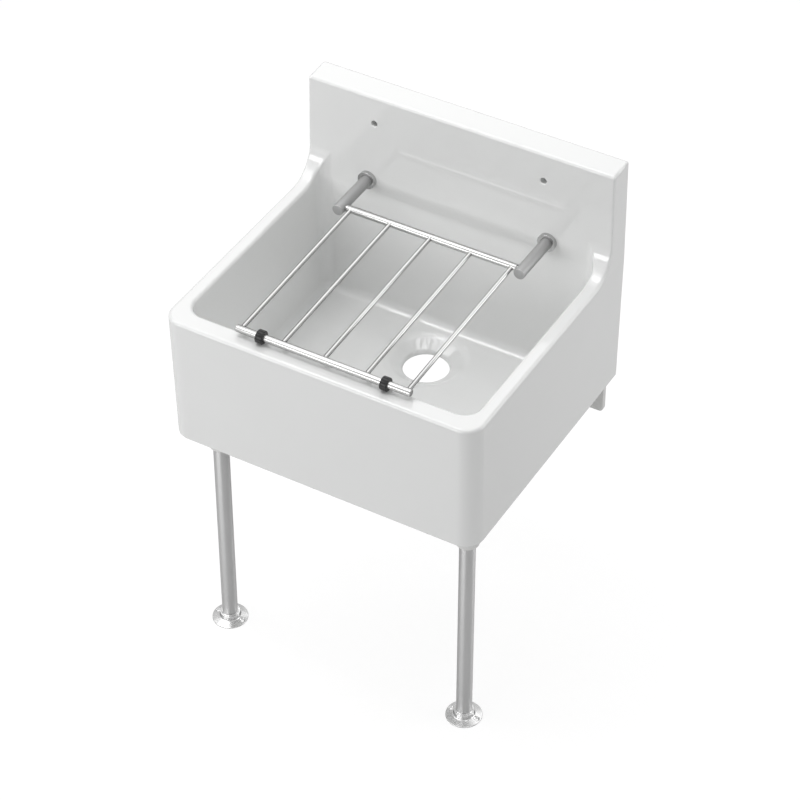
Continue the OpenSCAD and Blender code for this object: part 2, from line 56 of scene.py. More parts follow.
# Where the top's rounding changes from the front edge's to the back edge's
TOP_BLEND_Y, TOP_BLEND_LEN = -30, 20
HOLLOW_HALF, HOLLOW_FRONT, FLOOR_Z = 210, -379, -182
SIDE_DRAFT, FRONT_DRAFT, BACK_DRAFT = 11, 11, 8
HOLLOW_FRONT_R, HOLLOW_BACK_R, FILLET_R = 24, 17, 12
WASTE_R, WASTE_Y, WASTE_LIP, WASTE_UNDER_LIP, WASTE_BLEND = 32, -121, 3, 1, 3
DISH_R, DISH_DEPTH, DISH_SOFT, DISH_PAST, DISH_ABOVE = 54.5, 12, 4, 4, 6
FIXING_X, FIXING_Z, FIXING_R, FIXING_LIP = 126.5, 113, 4.5, 1
STUD_HOLE_R, BORE_R, BORE_DEPTH, BORE_LIP, BORE_FLOOR_R = 6, 14, 16, 0.8, 1.5

# Hinge posts and their fixings
POST_X, POST_Z, POST_R, POST_END, POST_EDGE = 136.7, 19, 8, -122, 1
ROSE_R, ROSE_T, ROSE_ROUND, ROSE_BORE_EDGE = 13, 6, 0.4, 0.4
HINGE_Y, PIN_R, PIN_BORE_R, PIN_HALF, BORE_HALF, BAR_HALF = -111, 3.5, 3.55, 136.7, 137.7, 128.2
STUD_R, STUD_FRONT, STUD_BACK, STUD_CHAMFER, STUD_LAST = 5, -57, -2, 0.5, 0.3
THREAD_PITCH, THREAD_DEPTH, THREAD_STEPS = 1.5, 0.75, 6
SEAL_Y, SEAL_T, SEAL_EDGE = -16, 3, 1.2
WASHER_Y, WASHER_T, WASHER_R, WASHER_EDGE = -13, 2, 12, 0.5
NUT_Y, NUT_T, NUT_FLATS = -11, 7, 16
# A nut's mouth chamfer, its flat face's share of its width, and how far its corners drop for each
# millimetre that they stand out
NUT_MOUTH, NUT_FACE, NUT_DROP = 0.6, 0.97, 0.6

# Bucket grating
BAR_R, BAR_EDGE, PIN_EDGE, ROD_R, ROD_END = 5, 0.5, 0.6, 3, 0.6
FRONT_BAR_Y, FRONT_BAR_Z, FRONT_BAR_HALF = -385.5, 9.6, 127.5
ROD_X = (-121.5, -61, 0, 61, 121.5)
# A rod's weld: how deep it bites into the bar, and (distance from the bar, flare) rows
WELD_BITE, WELD = 0.05, ((0.0, 0.3), (0.2, 0.1), (0.5, 0.0))
BUFFER_X, BUFFER_LEN, BUFFER_R, GROOVES, GROOVE_R, GROOVE_POINTS = 91, 10, 9.3, 14, 0.9, 12
BUFFER_EDGE, BUFFER_FINE_EDGE, RIB_SHOULDER = 0.4, 0.12, 0.55

# Legs, flanges and bearers
LEG_X, LEG_Y, LEG_R, LEG_WALL, GROUND_Z = 189.5, -345.5, 11, 1.5, -576
LEG_BOTTOM, LEG_TOP, TUBE_EDGE, TUBE_INNER_EDGE = -574, -211, 0.4, 0.3
FLANGE_R, FLANGE_EDGE, FLANGE_ROOT, FLANGE_FOOT_ROUND, FLANGE_RIM_ROUND = 25.5, 1.8, 4, 0.4, 0.6
HUB_R, HUB_H, HUB_FILLET, HUB_ROUND = 14.5, 12, 2.2, 0.8
LIP_H, LIP_W, LIP_FILLET, LIP_ROUND = 1.6, 1.5, 0.3, 0.6
FLANGE_HOLE_X, FLANGE_HOLE_R, FLANGE_SINK_R, SINK_FLARE, CUT_BELOW, CUT_ABOVE = 20, 2.4, 3.8, 0.3, 2, 6
BEARER_TOP, BEARER_W, BEARER_FLANGE_T, WEB_T, WEB_H, WEB_SINK = -205, 34, 6, 8, 28, 1
SOCKET_R, SOCKET_BOTTOM, PLATE_W, PLATE_T, PLATE_BOTTOM, PLATE_CORNER = 16, -249, 51, 8.5, -270, 6
PLATE_HOLE_X, PLATE_HOLE_Z, PLATE_HOLE_R, PLATE_HOLE_PAST = 15, -236, 3.5, 3
CAST_FILLET, CAST_EDGE, WEB_EDGE, WEB_END, PLATE_TOP_EDGE, BACK_EDGE = 3, 1.2, 1.5, 1, 1, 0.5
SOCKET_MOUTH, GRUB_MOUTH, PLATE_HOLE_LIP = 0.8, 0.3, 0.8
GRUB_R, GRUB_Z, GRUB_EDGE, KEY_HALF, KEY_DEPTH = 3, -237, 0.4, 1.5, 3
PAD_W, PAD_LEN, PAD_T, PAD_EDGE = 27.2, 46, 3, 0.6

# Points round each turned form
STUD_N, ROD_N, HOLE_N, BORE_N, BAR_N, POST_N, FLANGE_N = 24, 32, 32, 40, 48, 72, 96

# Grid lines of the fields as (start, end, step) runs, close together where edges are
BODY_X_RUNS = (0, 57, 1.8), (57, 118, 9), (118, 152, 1.3), (152, 184, 8), (184, 232, 1.7)
BODY_Y_RUNS = (-410, -350, 1.8), (-350, -180, 10), (-180, -62, 1.9), (-62, 2, 1.7)
BODY_Z_RUNS = ((-204, -164, 1.8), (-164, -10, 11), (-10, 2, 1.6), (2, 36, 1.4), (36, 56, 1.8),
               (56, 104, 8), (104, 122, 1.2), (122, 148, 6.5), (148, 158, 1.3))
BEARER_X_RUNS = ((-28, 28, 1.3),)
BEARER_Y_RUNS = (-365, -326, 1.5), (-326, -14, 13), (-14, 2, 1.2)
BEARER_Z_RUNS = ((-272, -203, 1.3),)
# Share of a field's faces that stays when its flats are thinned
BODY_KEEP, BEARER_KEEP = 0.3, 0.85
# Rounds that settle a field's points, before and after the thinning
CAST_ROUNDS, LAST_ROUNDS = 8, 3
# How far to each side a slope is measured, and the least square of a slope that points are moved by
SLOPE_STEP, LEAST_SQUARE = 0.02, 0.2


# Fields: negative inside a solid

def both(a, b, r):
    """Where two solids overlap, with the edge between them rounded."""
    return np.minimum(np.maximum(a, b), -r) + np.hypot(np.maximum(a + r, 0), np.maximum(b + r, 0))


def either(a, b, r):
    """Two solids together, with a fillet between them."""
    return np.maximum(np.minimum(a, b), r) - np.hypot(np.maximum(r - a, 0), np.maximum(r - b, 0))


def smooth_step(v):
    v = np.clip(v, 0, 1)
    return v * v * (3 - 2 * v)


def outer_body(ax, y, z, face):
    """Basin, shoulders and upstand as one full block."""
    up, down = np.maximum(z, 0), np.maximum(-z, 0)
    side = ax - (RIM_HALF + (TOP_HALF - RIM_HALF) * up / UPSTAND_H
                 + (BASE_HALF - RIM_HALF) * down / BASIN_H)
    front = -y - (RIM_D + (BASE_D - RIM_D) * down / BASIN_H)
    plan = both(both(side, front, FRONT_CORNER_R), y, UPRIGHT_ROUND)
    # the rim, the shoulders' arc and the upstand's face, seen from the side
    profile = either(z, face, SHOULDER_R)
    climb = np.arccos(1 - np.clip(z / SHOULDER_R, 0, 1)) / (math.pi / 2)
    solid = both(profile, plan, RIM_ROUND + (UPRIGHT_ROUND - RIM_ROUND) * climb)
    to_back = smooth_step((y - TOP_BLEND_Y) / TOP_BLEND_LEN)
    solid = both(solid, z - UPSTAND_H, TOP_ROUND + (UPRIGHT_ROUND - TOP_ROUND) * to_back)
    return both(solid, -BASIN_H - z, BASE_ROUND)


def hollowed(solid, ax, y, z, face):
    """Cuts the basin's hollow, with a rounding that fades where the shoulders run into the upstand."""
    lean = np.maximum(-z / -FLOOR_Z, 0)
    in_side = ax - (HOLLOW_HALF - SIDE_DRAFT * lean)
    in_front = HOLLOW_FRONT + FRONT_DRAFT * lean - y
    in_back = y + UPSTAND_T + BACK_DRAFT * lean
    hollow = np.maximum(both(in_side, in_front, HOLLOW_FRONT_R), both(in_side, in_back, HOLLOW_BACK_R))
    hollow = both(hollow, FLOOR_Z - z, FILLET_R)
    rise, run = np.maximum(SHOULDER_R - z, 0), np.maximum(SHOULDER_R - face, 0)
    turn_u, turn_w = np.maximum(in_side + HOLLOW_BACK_R, 0), np.maximum(in_back + HOLLOW_BACK_R, 0)
    together = run / (np.hypot(rise, run) + TINY) * turn_w / (np.hypot(turn_u, turn_w) + TINY)
    inner_r = RIM_ROUND * (1 - np.sqrt((1 + together) / 2)) / (1 - math.sqrt(0.5))
    return both(solid, -hollow, inner_r)


def drained(solid, x, y, z):
    """Cuts the waste hole and the dish round it."""
    rho = np.hypot(x, y - WASTE_Y)
    slope = DISH_DEPTH / (DISH_R - WASTE_R - WASTE_LIP)
    below_dish = (z - FLOOR_Z + DISH_DEPTH - slope * (rho - WASTE_R - WASTE_LIP)) / math.hypot(1, slope)
    dish = np.minimum(np.minimum(below_dish, DISH_R + DISH_PAST - rho), FLOOR_Z + DISH_ABOVE - z)
    solid = both(solid, dish, DISH_SOFT)
    upper = np.clip((z + BASIN_H - WASTE_UNDER_LIP) / WASTE_BLEND, 0, 1)
    return both(solid, WASTE_R - rho, WASTE_UNDER_LIP + (WASTE_LIP - WASTE_UNDER_LIP) * upper)


def fireclay(x, y, z):
    """The sink's whole body, with its holes."""
    ax = np.abs(x)
    face = -UPSTAND_T - y
    solid = drained(hollowed(outer_body(ax, y, z, face), ax, y, z, face), x, y, z)
    # screw holes, stud holes and their counterbores
    solid = both(solid, FIXING_R - np.hypot(ax - FIXING_X, z - FIXING_Z), FIXING_LIP)
    rho = np.hypot(ax - POST_X, z - POST_Z)
    solid = both(solid, STUD_HOLE_R - rho, BORE_LIP)
    return both(solid, -both(rho - BORE_R, -BORE_DEPTH - y, BORE_FLOOR_R), BORE_LIP)


def bearer_field(s):
    """One bearer about its own centre line: flange, web, leg socket and wall plate in one casting."""
    def field(x, y, z):
        ax = np.abs(x)
        to_leg = np.hypot(x, y - LEG_Y)
        web_top = BEARER_TOP - BEARER_FLANGE_T
        below_top = z - BEARER_TOP + WEB_SINK
        flange = np.where(y < LEG_Y, to_leg - BEARER_W / 2, ax - BEARER_W / 2)
        level = np.abs(z - BEARER_TOP + BEARER_FLANGE_T / 2) - BEARER_FLANGE_T / 2
        flange = both(flange, level, CAST_EDGE)
        web = both(ax - WEB_T / 2, web_top - WEB_H - z, WEB_EDGE)
        web = both(web, np.maximum(LEG_Y - y, below_top), WEB_END)
        socket = both(to_leg - SOCKET_R, np.maximum(SOCKET_BOTTOM - z, below_top), CAST_EDGE)
        plate = both(ax - PLATE_W / 2, PLATE_BOTTOM - z, PLATE_CORNER)
        plate = both(both(plate, z - BEARER_TOP, PLATE_TOP_EDGE), -PLATE_T - y, CAST_EDGE)
        solid = either(either(either(flange, web, CAST_FILLET), socket, CAST_FILLET), plate, CAST_FILLET)
        solid = both(solid, np.maximum(y, z - BEARER_TOP), BACK_EDGE)
        solid = both(solid, np.minimum(LEG_R + FIT - to_leg, web_top - z), SOCKET_MOUTH)
        grub = GRUB_R + FIT - np.hypot(y - LEG_Y, z - GRUB_Z)
        solid = both(solid, np.minimum(grub, -s * x), GRUB_MOUTH)
        hole = PLATE_HOLE_R - np.hypot(ax - PLATE_HOLE_X, z - PLATE_HOLE_Z)
        return both(solid, np.minimum(hole, y + PLATE_T + PLATE_HOLE_PAST), PLATE_HOLE_LIP)
    return field


def grid(runs):
    """Grid lines through (start, end, step) runs."""
    lines = [runs[0][0]]
    for a, b, step in runs:
        n = max(1, math.ceil((b - a) / step - TINY))
        lines += [a + (b - a) * i / n for i in range(1, n + 1)]
    return np.array(lines, float)


def mirrored(lines):
    """Grid lines from 0 outwards, together with their mirror images."""
    return np.concatenate([-lines[:0:-1], lines])


def slopes(field, p):
    """How fast a field changes at points, along X, Y and Z."""
    g = np.empty_like(p)
    for k in range(3):
        step = np.zeros(3)
        step[k] = SLOPE_STEP
        g[:, k] = (field(*(p + step).T) - field(*(p - step).T)) / (2 * SLOPE_STEP)
    return g


def settle(field, p, rounds):
    """Moves points onto the surface where the field is zero."""
    for _ in range(rounds):
        g = slopes(field, p)
        p = p - g * (field(*p.T) / np.maximum((g * g).sum(1), LEAST_SQUARE))[:, None]
    return p


def cast(field, xs, ys, zs):
    """Points and quads of the surface of a field, one point in each grid cell that the surface crosses."""
    inside = field(*np.meshgrid(xs, ys, zs, indexing="ij")) < 0
    shape = tuple(n - 1 for n in inside.shape)
    count = np.zeros(shape, np.int8)
    for i in (0, 1):
        for j in (0, 1):
            for k in (0, 1):
                count += inside[i:i + shape[0], j:j + shape[1], k:k + shape[2]]
    cells = (count > 0) & (count < 8)
    index = np.full(shape, -1)
    index[cells] = np.arange(cells.sum())
    where = np.argwhere(cells)
    middles = [(a[1:] + a[:-1]) / 2 for a in (xs, ys, zs)]
    points = np.stack([middles[k][where[:, k]] for k in range(3)], 1)
    quads = []
    for axis in range(3):
        u, w = (axis + 1) % 3, (axis + 2) % 3
        a = np.moveaxis(inside, (axis, u, w), (0, 1, 2))
        cell = np.moveaxis(index, (axis, u, w), (0, 1, 2))
        before, after = a[:-1, 1:-1, 1:-1], a[1:, 1:-1, 1:-1]
        i, j, k = np.nonzero(after != before)
        q = np.stack([cell[i, j, k], cell[i, j + 1, k], cell[i, j + 1, k + 1], cell[i, j, k + 1]], 1)
        leaving = before[i, j, k]
        quads.append(np.where(leaving[:, None], q, q[:, ::-1]))
    return settle(field, points, CAST_ROUNDS), np.concatenate(quads)


# Blender objects and meshes

def new_object(name, data):
    obj = bpy.data.objects.new(name, data)
    bpy.context.scene.collection.objects.link(obj)
    return obj


def applied(obj):
    """An object's mesh with its modifiers applied."""
    bpy.context.view_layer.update()
    return bpy.data.meshes.new_from_object(obj.evaluated_get(bpy.context.evaluated_depsgraph_get()))


def field_mesh(name, field, grids, keep):
    """A smooth mesh of a field, thinned on its flats, whose shading follows the exact surface."""
    points, quads = cast(field, *grids)
    mesh = bpy.data.meshes.new(name)
    mesh.from_pydata(points.tolist(), [], quads.tolist())
    dense = new_object(name + "_dense", mesh)
    dense.modifiers.new("thin", "DECIMATE").ratio = keep
    done = applied(dense)
    bpy.data.objects.remove(dense)
    bpy.data.meshes.remove(mesh)
    done.name = name
    co = np.empty(len(done.vertices) * 3)
    done.vertices.foreach_get("co", co)
    co = settle(field, co.reshape(-1, 3), LAST_ROUNDS)
    normals = slopes(field, co)
    normals /= np.linalg.norm(normals, axis=1)[:, None]
    return done, co, normals


def solid_mesh(name, points, faces):
    """A closed mesh from points in millimetres, with its faces turned outwards."""
    mesh = bpy.data.meshes.new(name)
    mesh.from_pydata([Vector(p) * MM for p in points], [], faces)
    bm = bmesh.new()
    bm.from_mesh(mesh)
    bmesh.ops.recalc_face_normals(bm, faces=bm.faces)
    bm.to_mesh(mesh)
    bm.free()
    return mesh


def cut_out(obj, cuts):
    """Takes solids of points and faces in millimetres out of an object."""
    name = obj.name
    tools = []
    for k, cut in enumerate(cuts):
        tool = new_object(f"{name}_cut_{k}", solid_mesh(f"{name}_cut_{k}", *cut))
        tools.append(tool)
        modifier = obj.modifiers.new(tool.name, "BOOLEAN")
        modifier.operation, modifier.solver, modifier.object = "DIFFERENCE", "EXACT", tool
    obj.data = applied(obj)
    obj.modifiers.clear()
    for tool in tools:
        bpy.data.objects.remove(tool)
    obj.data.name = name


def shade_smooth(mesh, sharp):
    """Smooth shading, apart from edges that bend by more than some degrees."""
    bm = bmesh.new()
    bm.from_mesh(mesh)
    limit = math.radians(sharp)
    for f in bm.faces:
        f.smooth = True
    for e in bm.edges:
        e.smooth = len(e.link_faces) == 2 and e.calc_face_angle(0) < limit
    bm.to_mesh(mesh)
    bm.free()


def piece(name, body, material, shape, replaced, sharp=32, cuts=()):
    """A piece of the part from points and faces in millimetres, or from a field's mesh."""
    if isinstance(shape[0], bpy.types.Mesh):
        mesh, co, normals = shape
        mesh.vertices.foreach_set("co", (co * MM).ravel())
        mesh.update()
        mesh.normals_split_custom_set_from_vertices(normals.tolist())
        obj = new_object(name, mesh)
    else:
        obj = new_object(name, solid_mesh(name, *shape))
        if cuts:
            cut_out(obj, cuts)
        shade_smooth(obj.data, sharp)
    obj.data.materials.clear()
    obj.data.materials.append(material)
    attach(obj, body)
    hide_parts(*replaced)


# Round forms

def directions(n):
    """Angles of n even steps round a circle."""
    return np.arange(n) * 2 * math.pi / n


def turned(rows, n, place, ring=False):
    """Points and faces through rows round the Z axis. A row is (radius, along), each a number or an array
    over the n directions. A radius of 0 is one point on the axis. A ring's last row joins its first."""
    angle = directions(n)
    points, faces, loops = [], [], []
    for r, t in rows:
        if np.ndim(r) == 0 and r == 0:
            loops.append([len(points)] * n)
            points.append((0, 0, float(np.mean(t))))
            continue
        loops.append(list(range(len(points), len(points) + n)))
        r, t = np.broadcast_to(r, n), np.broadcast_to(t, n)
        points += [(a, b, c) for a, b, c in zip(r * np.cos(angle), r * np.sin(angle), t)]
    pairs = list(zip(loops, loops[1:])) + ([(loops[-1], loops[0])] if ring else [])
    for a, b in pairs:
        for i in range(n):
            j = (i + 1) % n
            face = [a[i], a[j]] + ([b[j]] if b[j] != b[i] else []) + [b[i]]
            faces.append([v for k, v in enumerate(face) if v != face[k - 1]])
    return [place @ Vector(p) for p in points], faces


def rounded(points, steps=4):
    """A profile of (radius, along, rounding) corners as plain points, with an arc at each rounded corner."""
    out = []
    for k, (r, t, e) in enumerate(points):
        if not e:
            out.append((r, t))
            continue
        p = Vector((r, t))
        a = (Vector(points[k - 1][:2]) - p).normalized()
        b = (Vector(points[(k + 1) % len(points)][:2]) - p).normalized()
        half_angle = math.acos(max(-1, min(1, a.dot(b)))) / 2
        reach = e / math.tan(half_angle)
        centre = p + (a + b).normalized() * e / math.sin(half_angle)
        start, end = p + a * reach - centre, p + b * reach - centre
        sweep = math.pi - 2 * half_angle
        for i in range(steps + 1):
            s = i / steps
            w0, w1 = math.sin((1 - s) * sweep) / math.sin(sweep), math.sin(s * sweep) / math.sin(sweep)
            v = centre + start * w0 + end * w1
            out.append((v.x, v.y))
    return out


def along(axis, at):
    """Turns the Z axis to run along a direction, from a point."""
    return Matrix.Translation(at) @ Vector(axis).to_track_quat("Z", "Y").to_matrix().to_4x4()


def post_line(s):
    """The centre line of one post, towards the wall."""
    return along(Y_AXIS, (s * POST_X, 0, POST_Z))


def joined(*parts):
    """Several shapes of points and faces as one shape."""
    points, faces = [], []
    for p, f in parts:
        faces += [[v + len(points) for v in face] for face in f]
        points += p
    return points, faces


def rounded_box(lo, hi, r, steps):
    bm = bmesh.new()
    bmesh.ops.create_cube(bm, size=1)
    lo, hi = Vector(lo), Vector(hi)
    for v in bm.verts:
        v.co = [lo[k] + (v.co[k] + 0.5) * (hi[k] - lo[k]) for k in range(3)]
    bmesh.ops.bevel(bm, geom=bm.edges[:] + bm.verts[:], offset=r, segments=steps, affect="EDGES",
                    profile=0.5)
    out = [v.co.copy() for v in bm.verts], [[v.index for v in f.verts] for f in bm.faces]
    bm.free()
    return out


def hexagon(half, n):
    """Radii of a hexagon over n directions, from half its width over the flats."""
    return half / np.cos((directions(n) + math.pi / 6) % (math.pi / 3) - math.pi / 6)


# Materials

# The stretch of values that a noise mostly stays in
NOISE_LOW, NOISE_HIGH = 0.3, 0.7
# Detail and roughness of the noises for changes of tone and for fine marks
TONE_DETAIL, TONE_ROUGH, FINE_DETAIL, FINE_ROUGH = 4.0, 0.6, 5.0, 0.65
WAVE_SCALE, WAVE_DETAIL = 14.0, 1.5
LEAST_ROUGH = 0.02
FLAT_POINTINESS = 0.5
# How much a turned metal spreads its highlights, and the quarter turn that spreads them along its axis
ANISOTROPY, ANISOTROPY_TURN = 0.9, 0.25
# Sockets of a Mix node that mixes colours
MIX_FACTOR, MIX_A, MIX_B, MIX_RESULT = 0, 6, 7, 2


def finish(name, *, colour, rough, dark, patch, grain_scale, rough_spread, bump, metallic=0.0, ior=1.5,
           grain=(1, 1, 1), wave=0.0, wear=0.0, wear_colour=None, edge=1.0, turned_round=None):
    """A surface whose tone, roughness and relief vary. dark is the share of the colour that the darkest
    places keep. patch and grain_scale are the scales of the noises for tone and for fine marks, and grain
    stretches the fine marks in the object's own frame. edge is the tint of the reflections at a grazing
    angle. A metal turned about an axis spreads its highlights along that axis."""
    mat = bpy.data.materials.new(name)
    mat.use_nodes = True
    tree = mat.node_tree
    tree.nodes.clear()

    def add(kind, props=None, **inputs):
        n = tree.nodes.new(kind)
        for key, value in (props or {}).items():
            setattr(n, key, value)
        for key, value in inputs.items():
            socket = n.inputs[key] if key in n.inputs else n.inputs[key.replace("_", " ")]
            if isinstance(value, bpy.types.NodeSocket):
                tree.links.new(value, socket)
            else:
                socket.default_value = value
        return n

    place = add("ShaderNodeTexCoord").outputs["Object"]
    shader = add("ShaderNodeBsdfPrincipled", Metallic=metallic, IOR=ior, Specular_Tint=(edge, edge, edge, 1))
    if turned_round:
        shader.inputs["Anisotropic"].default_value = ANISOTROPY
        shader.inputs["Anisotropic Rotation"].default_value = ANISOTROPY_TURN
        tangent = add("ShaderNodeTangent", {"direction_type": "RADIAL", "axis": turned_round})
        tree.links.new(tangent.outputs["Tangent"], shader.inputs["Tangent"])
    # slow change of tone over the surface
    tone = add("ShaderNodeTexNoise", Vector=place, Scale=patch, Detail=TONE_DETAIL, Roughness=TONE_ROUGH)
    ramp = add("ShaderNodeValToRGB", Fac=tone.outputs["Fac"])
    low, high = ramp.color_ramp.elements
    low.position, high.position = NOISE_LOW, NOISE_HIGH
    low.color, high.color = tuple(c * dark for c in colour) + (1,), tuple(colour) + (1,)
    base = ramp.outputs["Color"]
    if wear:
        convex = add("ShaderNodeNewGeometry").outputs["Pointiness"]
        amount = add("ShaderNodeMapRange", Value=convex, From_Min=FLAT_POINTINESS,
                     From_Max=FLAT_POINTINESS + wear, To_Min=0.0, To_Max=1.0)
        worn = add("ShaderNodeMix", {"data_type": "RGBA"})
        tree.links.new(amount.outputs["Result"], worn.inputs[MIX_FACTOR])
        tree.links.new(base, worn.inputs[MIX_A])
        worn.inputs[MIX_B].default_value = tuple(wear_colour) + (1,)
        base = worn.outputs[MIX_RESULT]
    tree.links.new(base, shader.inputs["Base Color"])
    # fine marks
    stretched = add("ShaderNodeMapping", Vector=place, Scale=grain)
    fine = add("ShaderNodeTexNoise", Vector=stretched.outputs["Vector"], Scale=grain_scale,
               Detail=FINE_DETAIL, Roughness=FINE_ROUGH)
    spread = add("ShaderNodeMapRange", Value=fine.outputs["Fac"], From_Min=NOISE_LOW, From_Max=NOISE_HIGH,
                 To_Min=max(LEAST_ROUGH, rough - rough_spread), To_Max=rough + rough_spread)
    tree.links.new(spread.outputs["Result"], shader.inputs["Roughness"])
    relief = add("ShaderNodeBump", Height=fine.outputs["Fac"], Strength=1.0, Distance=bump)
    if wave:
        slow = add("ShaderNodeTexNoise", Vector=place, Scale=WAVE_SCALE, Detail=WAVE_DETAIL)
        swell = add("ShaderNodeBump", Height=slow.outputs["Fac"], Strength=1.0, Distance=wave)
        tree.links.new(swell.outputs["Normal"], relief.inputs["Normal"])
    tree.links.new(relief.outputs["Normal"], shader.inputs["Normal"])
    out = add("ShaderNodeOutputMaterial")
    tree.links.new(shader.outputs["BSDF"], out.inputs["Surface"])
    return mat


DRAWN = {"metallic": 1.0, "grain_scale": 20.0, "rough_spread": 0.03}
GLAZE = finish("white_glaze", colour=(0.88, 0.885, 0.88), rough=0.03, ior=1.75, dark=0.985, patch=5.0,
               grain_scale=260.0, rough_spread=0.01, bump=0.0000006, wave=0.00002)
POST_STEEL = finish("turned_steel", colour=(0.49, 0.49, 0.49), rough=0.6, dark=0.96, patch=30.0,
                    grain=(1, 60, 1), bump=0.000002, edge=0.4, **DRAWN)
ROSE_STEEL = finish("turned_rose_steel", colour=(0.52, 0.52, 0.52), rough=0.2, metallic=1.0, dark=0.94,
                    patch=60.0, grain_scale=160.0, rough_spread=0.04, bump=0.000003)
BAR_STEEL = finish("drawn_steel_bar", colour=(0.62, 0.62, 0.615), rough=0.27, dark=0.97, patch=30.0,
                   grain=(1, 40, 40), bump=0.000001, edge=0.1, **DRAWN)
ROD_STEEL = finish("drawn_steel_rod", colour=(0.59, 0.59, 0.585), rough=0.1, dark=0.97, patch=30.0,
                   grain=(40, 1, 40), bump=0.000001, edge=0.1, **DRAWN)
LEG_STEEL = finish("brushed_leg_steel", colour=(0.64, 0.64, 0.64), rough=0.42, dark=0.96, patch=12.0,
                   grain=(30, 30, 1), bump=0.000002, edge=0.8, turned_round="Z", **DRAWN)
FLANGE_STEEL = finish("polished_flange_steel", colour=(0.86, 0.86, 0.86), rough=0.26, metallic=1.0, dark=0.86,
                      patch=90.0, grain_scale=230.0, rough_spread=0.06, bump=0.00009, edge=0.4)
CAST = finish("cast_aluminium", colour=(0.78, 0.78, 0.77), rough=0.42, metallic=0.4, dark=0.9, patch=70.0,
              grain_scale=420.0, rough_spread=0.1, bump=0.00009, wear=0.06, wear_colour=(0.84, 0.84, 0.83))
ZINC = finish("zinc_plate", colour=(0.70, 0.70, 0.71), rough=0.3, metallic=1.0, dark=0.84, patch=120.0,
              grain_scale=300.0, rough_spread=0.1, bump=0.00001, wear=0.05, wear_colour=(0.85, 0.85, 0.84))
RUBBER = finish("black_rubber", colour=(0.012, 0.012, 0.013), rough=0.32, ior=1.38, dark=0.7, patch=160.0,
                grain_scale=700.0, rough_spread=0.1, bump=0.00002, wear=0.08, wear_colour=(0.05, 0.05, 0.05))


# Fireclay body
body_grids = mirrored(grid(BODY_X_RUNS)), grid(BODY_Y_RUNS), grid(BODY_Z_RUNS)
piece("fireclay_body", "sink", GLAZE,
      field_mesh("fireclay_body", fireclay, body_grids, BODY_KEEP), ("sink_body",))

# Hinge posts, roses and rear fixings
for word, s in SIDES:
    profile = rounded([(0, -UPSTAND_T, 0), (POST_R, -UPSTAND_T, 0), (POST_R, POST_END, POST_EDGE),
                       (0, POST_END, 0)])
    pin_bore = turned([(0, 0), (PIN_BORE_R, 0), (PIN_BORE_R, -2 * POST_R), (0, -2 * POST_R)], BORE_N,
                      along((s, 0, 0), (s * BORE_HALF, HINGE_Y, POST_Z)))
    piece(f"{word}_post", "sink", POST_STEEL,
          turned(profile, POST_N, post_line(s)), (f"{word}_hinge_post",), cuts=(pin_bore,))
    rose_front = -UPSTAND_T - ROSE_T
    rose = rounded([(POST_R, -UPSTAND_T, 0), (ROSE_R, -UPSTAND_T, 0), (ROSE_R, rose_front, ROSE_ROUND),
                    (POST_R + ROSE_BORE_EDGE, rose_front, 0), (POST_R, rose_front + ROSE_BORE_EDGE, 0)])
    piece(f"{word}_rose", "sink", ROSE_STEEL,
          turned(rose, POST_N, post_line(s), ring=True), (f"{word}_post_rose",))


def stud(s):
    """A stud with a cut thread from the nut's end to the post."""
    angle = np.arange(STUD_N) / STUD_N
    root = STUD_R - THREAD_DEPTH
    rows = [(0, STUD_FRONT), (root, STUD_FRONT)]
    for k in range(int((STUD_BACK - STUD_FRONT - 2 * STUD_CHAMFER) / THREAD_PITCH * THREAD_STEPS)):
        t = STUD_FRONT + STUD_CHAMFER + k * THREAD_PITCH / THREAD_STEPS
        phase = (k / THREAD_STEPS + angle) % 1
        rows.append((STUD_R - THREAD_DEPTH * np.abs(2 * phase - 1), t))
    rows += [(root, STUD_BACK - STUD_LAST), (root - STUD_CHAMFER, STUD_BACK), (0, STUD_BACK)]
    return turned(rows, STUD_N, post_line(s))


def washer(s, y, t, edge):
    """A ring round a stud, from a place along it towards the wall."""
    bore = STUD_R + FIT
    profile = rounded([(bore, y, 0), (WASHER_R, y, edge), (WASHER_R, y + t, edge), (bore, y + t, 0)], steps=3)
    return turned(profile, BAR_N, post_line(s), ring=True)


def nut(s):
    """A hexagon nut with chamfered corners."""
    half = NUT_FLATS / 2
    radii = hexagon(half, POST_N)
    drop = np.maximum(radii - half, 0) * NUT_DROP
    low, high = NUT_Y, NUT_Y + NUT_T
    rows = [(STUD_R + FIT, low + NUT_MOUTH), (STUD_R + NUT_MOUTH, low), (half * NUT_FACE, low),
            (radii, low + drop), (radii, high - drop), (half * NUT_FACE, high), (STUD_R + NUT_MOUTH, high),
            (STUD_R + FIT, high - NUT_MOUTH)]
    return turned(rows, POST_N, post_line(s), ring=True)


piece("threaded_studs", "sink", ZINC, joined(stud(-1), stud(1)), ("post_studs",), sharp=70)
piece("rubber_seals", "sink", RUBBER,
      joined(*(washer(s, SEAL_Y, SEAL_T, SEAL_EDGE) for _, s in SIDES)), ("post_seals",))
piece("steel_washers", "sink", ZINC,
      joined(*(washer(s, WASHER_Y, WASHER_T, WASHER_EDGE) for _, s in SIDES)), ("post_washers",))
piece("hexagon_nuts", "sink", ZINC, joined(nut(-1), nut(1)), ("post_nuts",), sharp=25)

